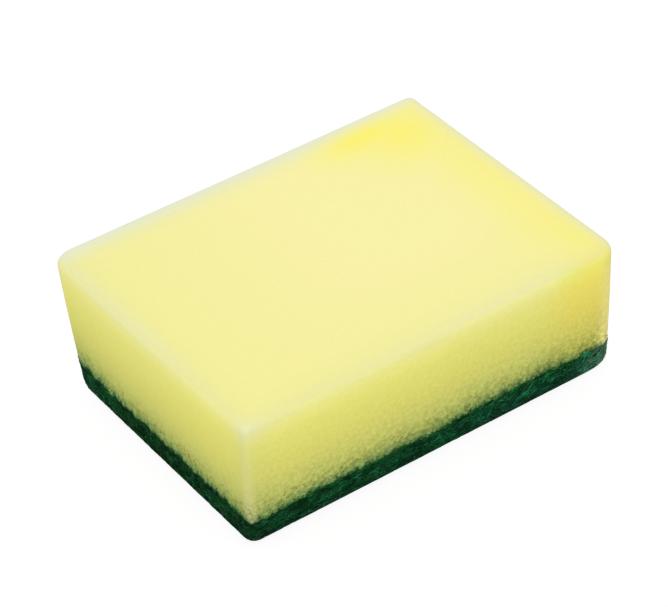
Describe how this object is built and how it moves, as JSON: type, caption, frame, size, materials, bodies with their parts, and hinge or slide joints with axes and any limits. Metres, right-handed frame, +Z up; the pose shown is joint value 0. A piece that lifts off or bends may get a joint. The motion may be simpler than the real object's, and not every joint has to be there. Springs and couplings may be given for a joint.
{
  "type": "cleaning sponge",
  "caption": "Rectangular cleaning sponge: a block of fine open-cell foam bonded on top of a non-woven scouring pad, with soft edges and long sides that lean in towards the pad",
  "frame": {"origin": "on the surface that the sponge lies on, under the middle of the foam block", "axes": "+X along the sponge's length, +Y across its width, +Z up from the scouring pad to the foam's top face"},
  "size_m": [0.09, 0.07, 0.031],
  "materials": {
    "foam": "matte open-cell foam",
    "scouring_fibre": "rough matted non-woven fibre"
  },
  "bodies": {
    "root": {"foam_block": "foam", "scouring_pad": "scouring_fibre"}
  },
  "joints": []
}
